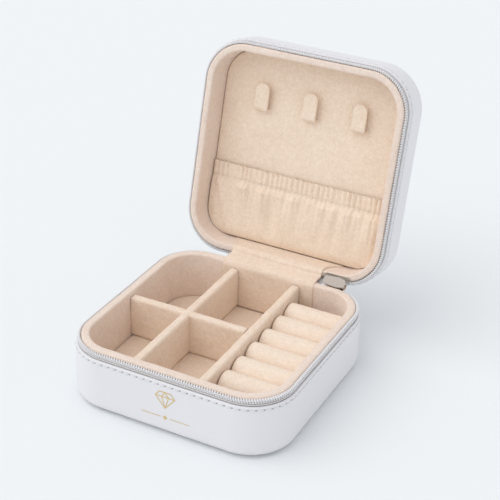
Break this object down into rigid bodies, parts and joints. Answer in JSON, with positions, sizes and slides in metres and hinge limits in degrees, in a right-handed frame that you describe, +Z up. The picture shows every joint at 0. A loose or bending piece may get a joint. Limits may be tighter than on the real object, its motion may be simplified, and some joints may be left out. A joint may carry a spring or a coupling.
{
  "type": "jewelry box",
  "caption": "Small square zip-round travel jewelry case with a tray base, lift-out dividers, ring rolls, a strap-hinged lid with necklace hooks and a gathered pocket.",
  "frame": {"origin": "centre of the base's flat resting face", "axes": "+Z up, -Y towards the front of the case, +Y towards the hinge, +X towards the ring rolls; the lid stands open"},
  "size_m": [0.1, 0.1447, 0.1223],
  "materials": {
    "white_leather": "fine-grained coated leather, semi-matte",
    "velvet": "short-pile velvet",
    "board": "grey-brown board",
    "foam": "soft open foam",
    "zip_tape": "woven tape",
    "zip_coil": "moulded nylon coil",
    "elastic": "flat knitted elastic",
    "polished_metal": "polished plated alloy",
    "gold_foil": "hot-stamped foil"
  },
  "bodies": {
    "base": {"base_leather_wrap": "white_leather", "base_bottom_panel": "white_leather", "base_side_board": "board", "base_bottom_board": "board", "base_zip_tape": "zip_tape", "base_zip_coil": "zip_coil", "base_velvet_lining": "velvet", "base_rim_core": "foam", "base_floor_pad": "velvet", "ring_bed": "foam", "ring_partition": "velvet", "ring_roll_1": "velvet", "ring_roll_2": "velvet", "ring_roll_3": "velvet", "ring_roll_4": "velvet", "ring_roll_5": "velvet", "ring_roll_6": "velvet", "hinge_strap": "white_leather", "hinge_velvet_band": "velvet", "front_emblem": "gold_foil"},
    "lid": {"lid_leather_wrap": "white_leather", "lid_side_board": "board", "lid_top_board": "board", "lid_top_foam": "foam", "lid_zip_tape": "zip_tape", "lid_zip_coil": "zip_coil", "lid_velvet_lining": "velvet", "lid_rim_core": "foam", "lid_back_panel": "velvet", "lid_pocket": "velvet", "pocket_elastic": "elastic", "necklace_hook_1": "velvet", "necklace_hook_2": "velvet", "necklace_hook_3": "velvet"},
    "divider_insert": {"divider_long": "velvet", "divider_cross": "velvet"},
    "zip_slider_unit": {"zip_slider": "polished_metal", "slider_bail": "polished_metal"},
    "zip_pull": {"zip_pull_tab": "polished_metal"}
  },
  "joints": [
    {"name": "lid_hinge", "type": "hinge", "parent": "base", "child": "lid", "pos_m": [0, 0.05005, 0.0265], "axis": [1, 0, 0], "range_deg": [0, 103.7], "deforming": ["hinge_strap", "hinge_velvet_band"]},
    {"name": "slider_tilt", "type": "hinge", "parent": "base", "child": "zip_slider_unit", "pos_m": [0, 0.05005, 0.0265], "axis": [1, 0, 0], "range_deg": [0, 51.86]},
    {"name": "pull_swing", "type": "hinge", "parent": "zip_slider_unit", "child": "zip_pull", "pos_m": [0.0315, 0.05245, 0.02603], "axis": [0, 0.7864, 0.6177], "range_deg": [-60, 60]},
    {"name": "divider_lift", "type": "slide", "parent": "base", "child": "divider_insert", "axis": [0, 0, 1], "range_m": [0, 0.0105]}
  ],
  "couplings": [
    {"joint": "slider_tilt", "follows": "lid_hinge", "ratio": 0.5}
  ]
}
